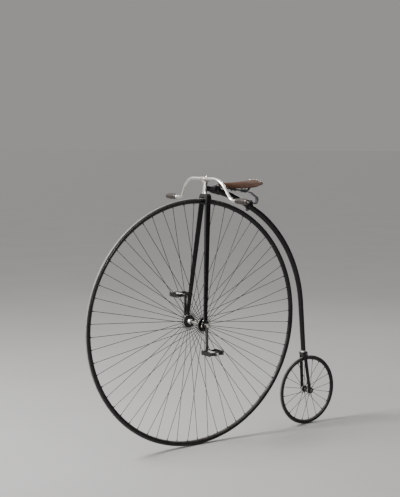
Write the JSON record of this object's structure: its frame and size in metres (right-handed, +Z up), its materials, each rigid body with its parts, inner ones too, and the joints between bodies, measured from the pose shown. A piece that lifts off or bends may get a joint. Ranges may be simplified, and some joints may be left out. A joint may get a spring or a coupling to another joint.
{
  "type": "penny farthing bicycle",
  "caption": "High-wheel bicycle with a large direct-driven wire wheel, a small trailing wheel, curved backbone, dropped handlebar, leather saddle and rat-trap pedals.",
  "frame": {"origin": "top of the saddle leather, where the rider sits", "axes": "+X forward, +Y to the rider's left, +Z up"},
  "size_m": [1.701, 0.776, 1.4925],
  "materials": {
    "black_enamel": "stoved black enamel, satin gloss",
    "nickel": "polished nickel plate",
    "steel": "bright forged steel",
    "rubber": "solid rubber, dusty",
    "leather": "waxed dark brown leather",
    "horn": "turned dark horn"
  },
  "bodies": {
    "frame": {"backbone": "black_enamel", "neck": "black_enamel", "rear_crown": "black_enamel", "rear_blade_left": "black_enamel", "rear_blade_right": "black_enamel", "rear_axle": "steel", "mounting_step": "black_enamel", "saddle_spring": "steel", "spring_clip": "black_enamel", "saddle_frame": "steel", "saddle_leather": "leather"},
    "steering": {"fork_crown": "black_enamel", "steering_head": "nickel", "head_bolt": "nickel", "fork_leg_left": "black_enamel", "fork_leg_right": "black_enamel", "bearing_left": "nickel", "bearing_right": "nickel", "handlebar": "nickel", "grip_left": "horn", "grip_right": "horn"},
    "front_wheel": {"front_tyre": "rubber", "front_rim": "black_enamel", "front_axle": "nickel", "front_hub": "nickel", "front_spokes_left": "black_enamel", "front_spokes_right": "black_enamel", "crank_left": "nickel", "crank_right": "nickel", "spindle_left": "steel", "spindle_right": "steel"},
    "rear_wheel": {"rear_tyre": "rubber", "rear_rim": "black_enamel", "rear_spokes": "black_enamel"},
    "pedal_left": {"pedal_cage_left": "steel", "pedal_barrel_left": "steel"},
    "pedal_right": {"pedal_cage_right": "steel", "pedal_barrel_right": "steel"}
  },
  "joints": [
    {"name": "steering_turn", "type": "hinge", "parent": "frame", "child": "steering", "pos_m": [0.3, 0, -0.77313], "axis": [-0.0837, 0, 0.9965], "range_deg": [-45, 45]},
    {"name": "front_wheel_spin", "type": "hinge", "parent": "steering", "child": "front_wheel", "pos_m": [0.3, 0, -0.77313], "axis": [0, 1, 0], "continuous": true},
    {"name": "rear_wheel_spin", "type": "hinge", "parent": "frame", "child": "rear_wheel", "pos_m": [-0.50799, 0, -1.25213], "axis": [0, 1, 0], "continuous": true},
    {"name": "pedal_left_spin", "type": "hinge", "parent": "front_wheel", "child": "pedal_left", "pos_m": [0.3, 0, -0.91313], "axis": [0, 1, 0], "continuous": true},
    {"name": "pedal_right_spin", "type": "hinge", "parent": "front_wheel", "child": "pedal_right", "pos_m": [0.3, 0, -0.63313], "axis": [0, 1, 0], "continuous": true}
  ]
}
